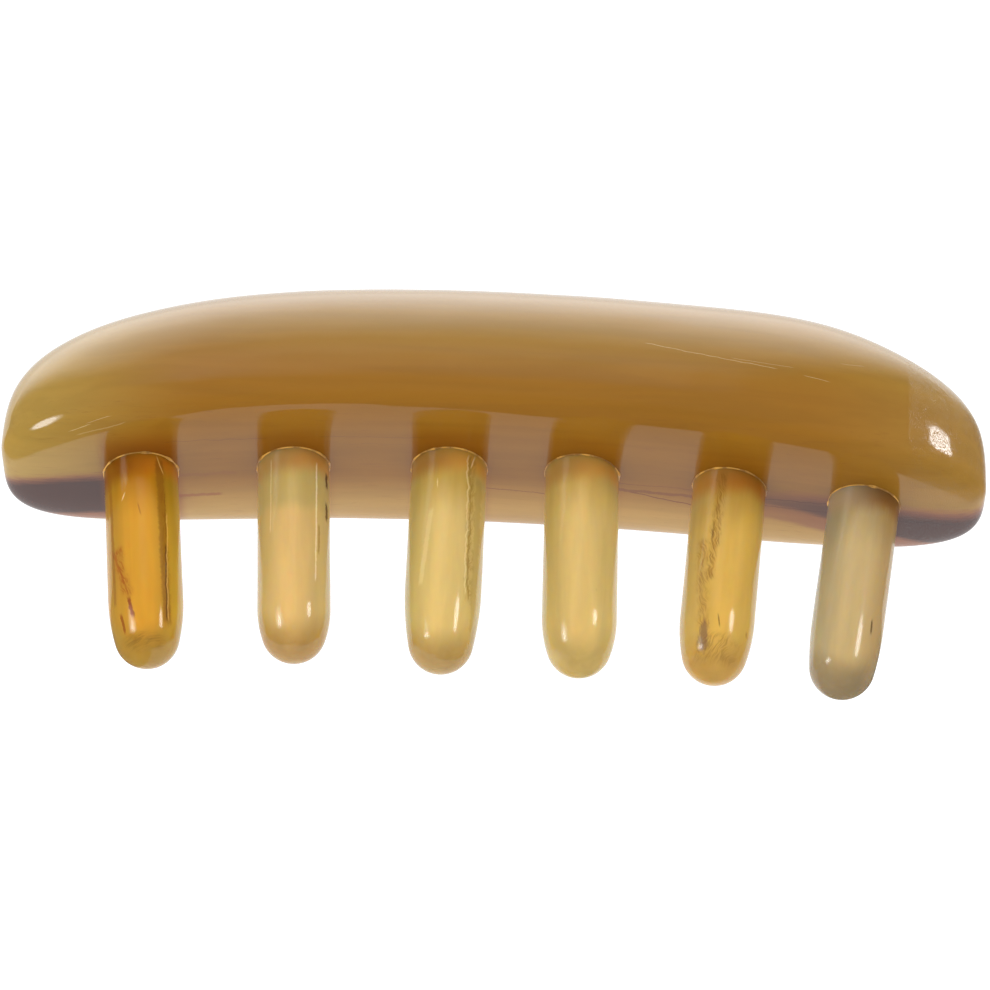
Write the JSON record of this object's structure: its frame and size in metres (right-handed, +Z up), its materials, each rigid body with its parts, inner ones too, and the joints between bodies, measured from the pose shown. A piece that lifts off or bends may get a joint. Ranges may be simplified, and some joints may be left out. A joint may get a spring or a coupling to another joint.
{
  "type": "scalp massage comb",
  "caption": "Hand-held scalp massage comb of polished horn: a thick rounded handle bar with stout round-ended teeth glued into its underside, lying on its side.",
  "frame": {"origin": "on the table, under the middle of the comb's outline as it lies on its rear side", "axes": "+X along the handle, +Y from the tooth tips towards the handle's crown, +Z up from the table"},
  "size_m": [0.12, 0.0522, 0.0295],
  "materials": {
    "horn_handle": "polished natural horn, olive brown, with fine lengthwise grain, a cream strip and a purple-grey streak along the rear lower edge",
    "horn_amber": "polished amber horn with a dark lengthwise crack and red-brown flecks",
    "horn_peach": "polished pale peach horn, greener towards the handle",
    "horn_straw": "polished straw-yellow horn with a rough crack line and a greyer tip",
    "horn_cream": "polished pale yellow horn, even in colour",
    "horn_honey": "polished honey-yellow horn with a brown fibrous streak and a speckled tip",
    "horn_grey": "polished grey-green horn with a tan middle and a short dark slit"
  },
  "bodies": {
    "root": {"handle": "horn_handle", "tooth_1": "horn_amber", "tooth_2": "horn_peach", "tooth_3": "horn_straw", "tooth_4": "horn_cream", "tooth_5": "horn_honey", "tooth_6": "horn_grey"}
  },
  "joints": []
}
